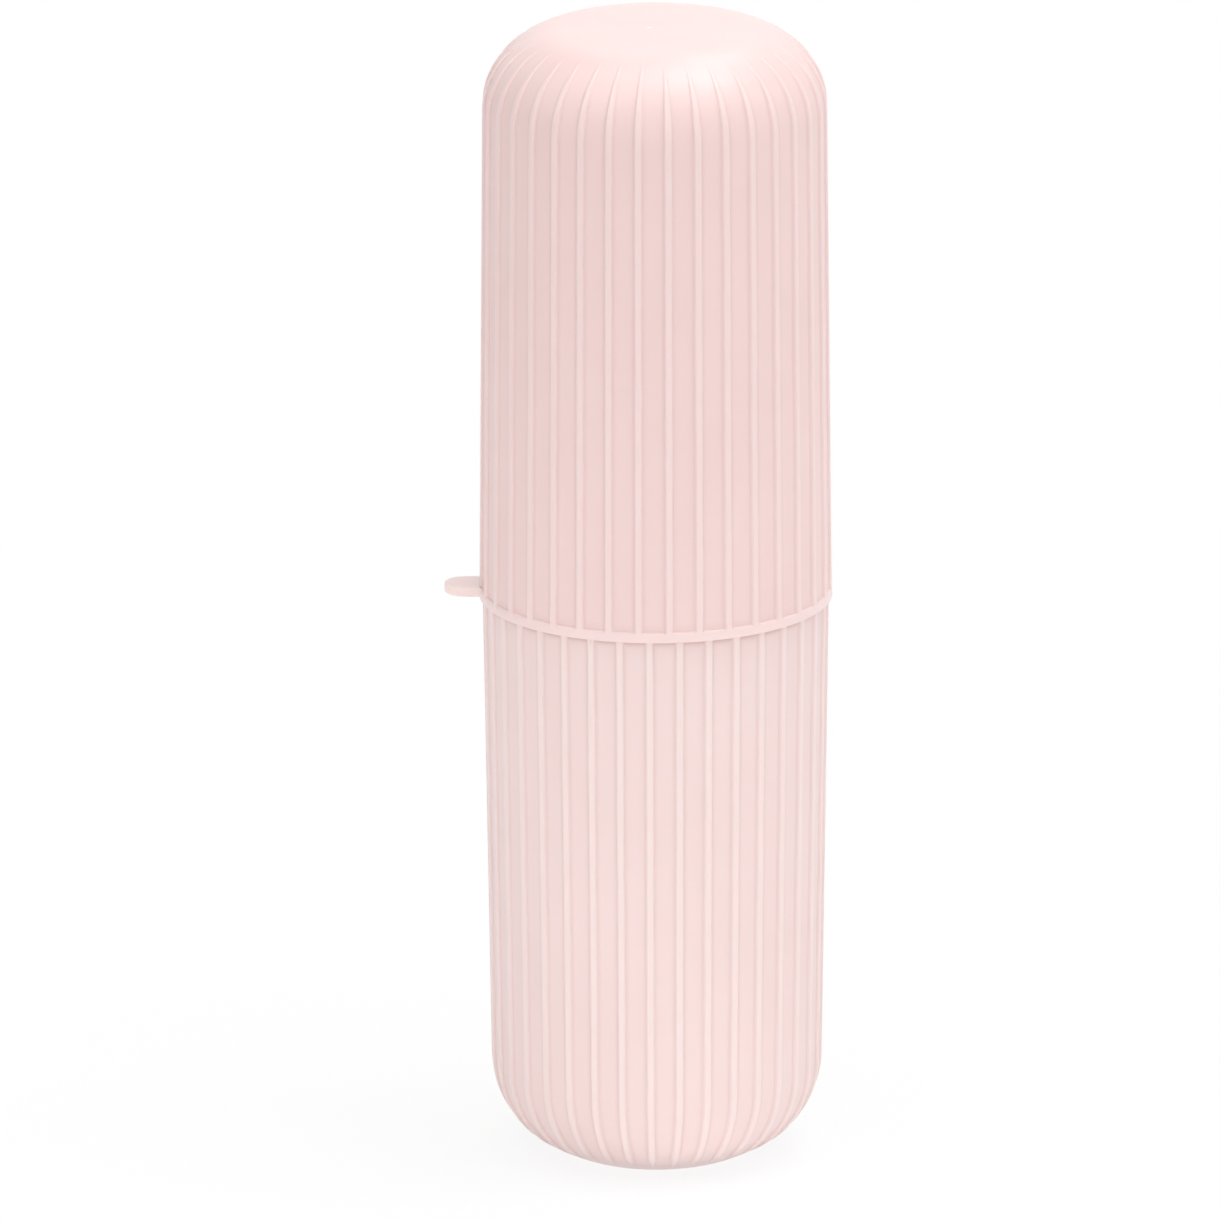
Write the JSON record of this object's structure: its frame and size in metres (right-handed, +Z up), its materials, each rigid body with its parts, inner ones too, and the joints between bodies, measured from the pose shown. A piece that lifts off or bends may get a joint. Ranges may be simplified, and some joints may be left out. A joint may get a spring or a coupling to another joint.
{
  "type": "toothbrush case",
  "caption": "Capsule travel case for a toothbrush: a ribbed domed cover with a smooth rim band and a small thumb tab, pushed onto the neck of a ribbed round-bottomed cup.",
  "frame": {"origin": "middle of the flat foot that the cup stands on, on the axis of the capsule", "axes": "+Z up along the axis of the capsule, -X towards the thumb tab on the cover's rim band"},
  "size_m": [0.068, 0.0618, 0.204],
  "materials": {
    "cup_plastic": "satin moulded polypropylene, pale pink",
    "cover_plastic": "satin moulded polypropylene, pale pink"
  },
  "bodies": {
    "cup": {"cup": "cup_plastic"},
    "cover": {"cover": "cover_plastic"}
  },
  "joints": [
    {"name": "cover_lift", "type": "slide", "parent": "cup", "child": "cover", "axis": [0, 0, 1], "range_m": [0, 0.12]}
  ]
}
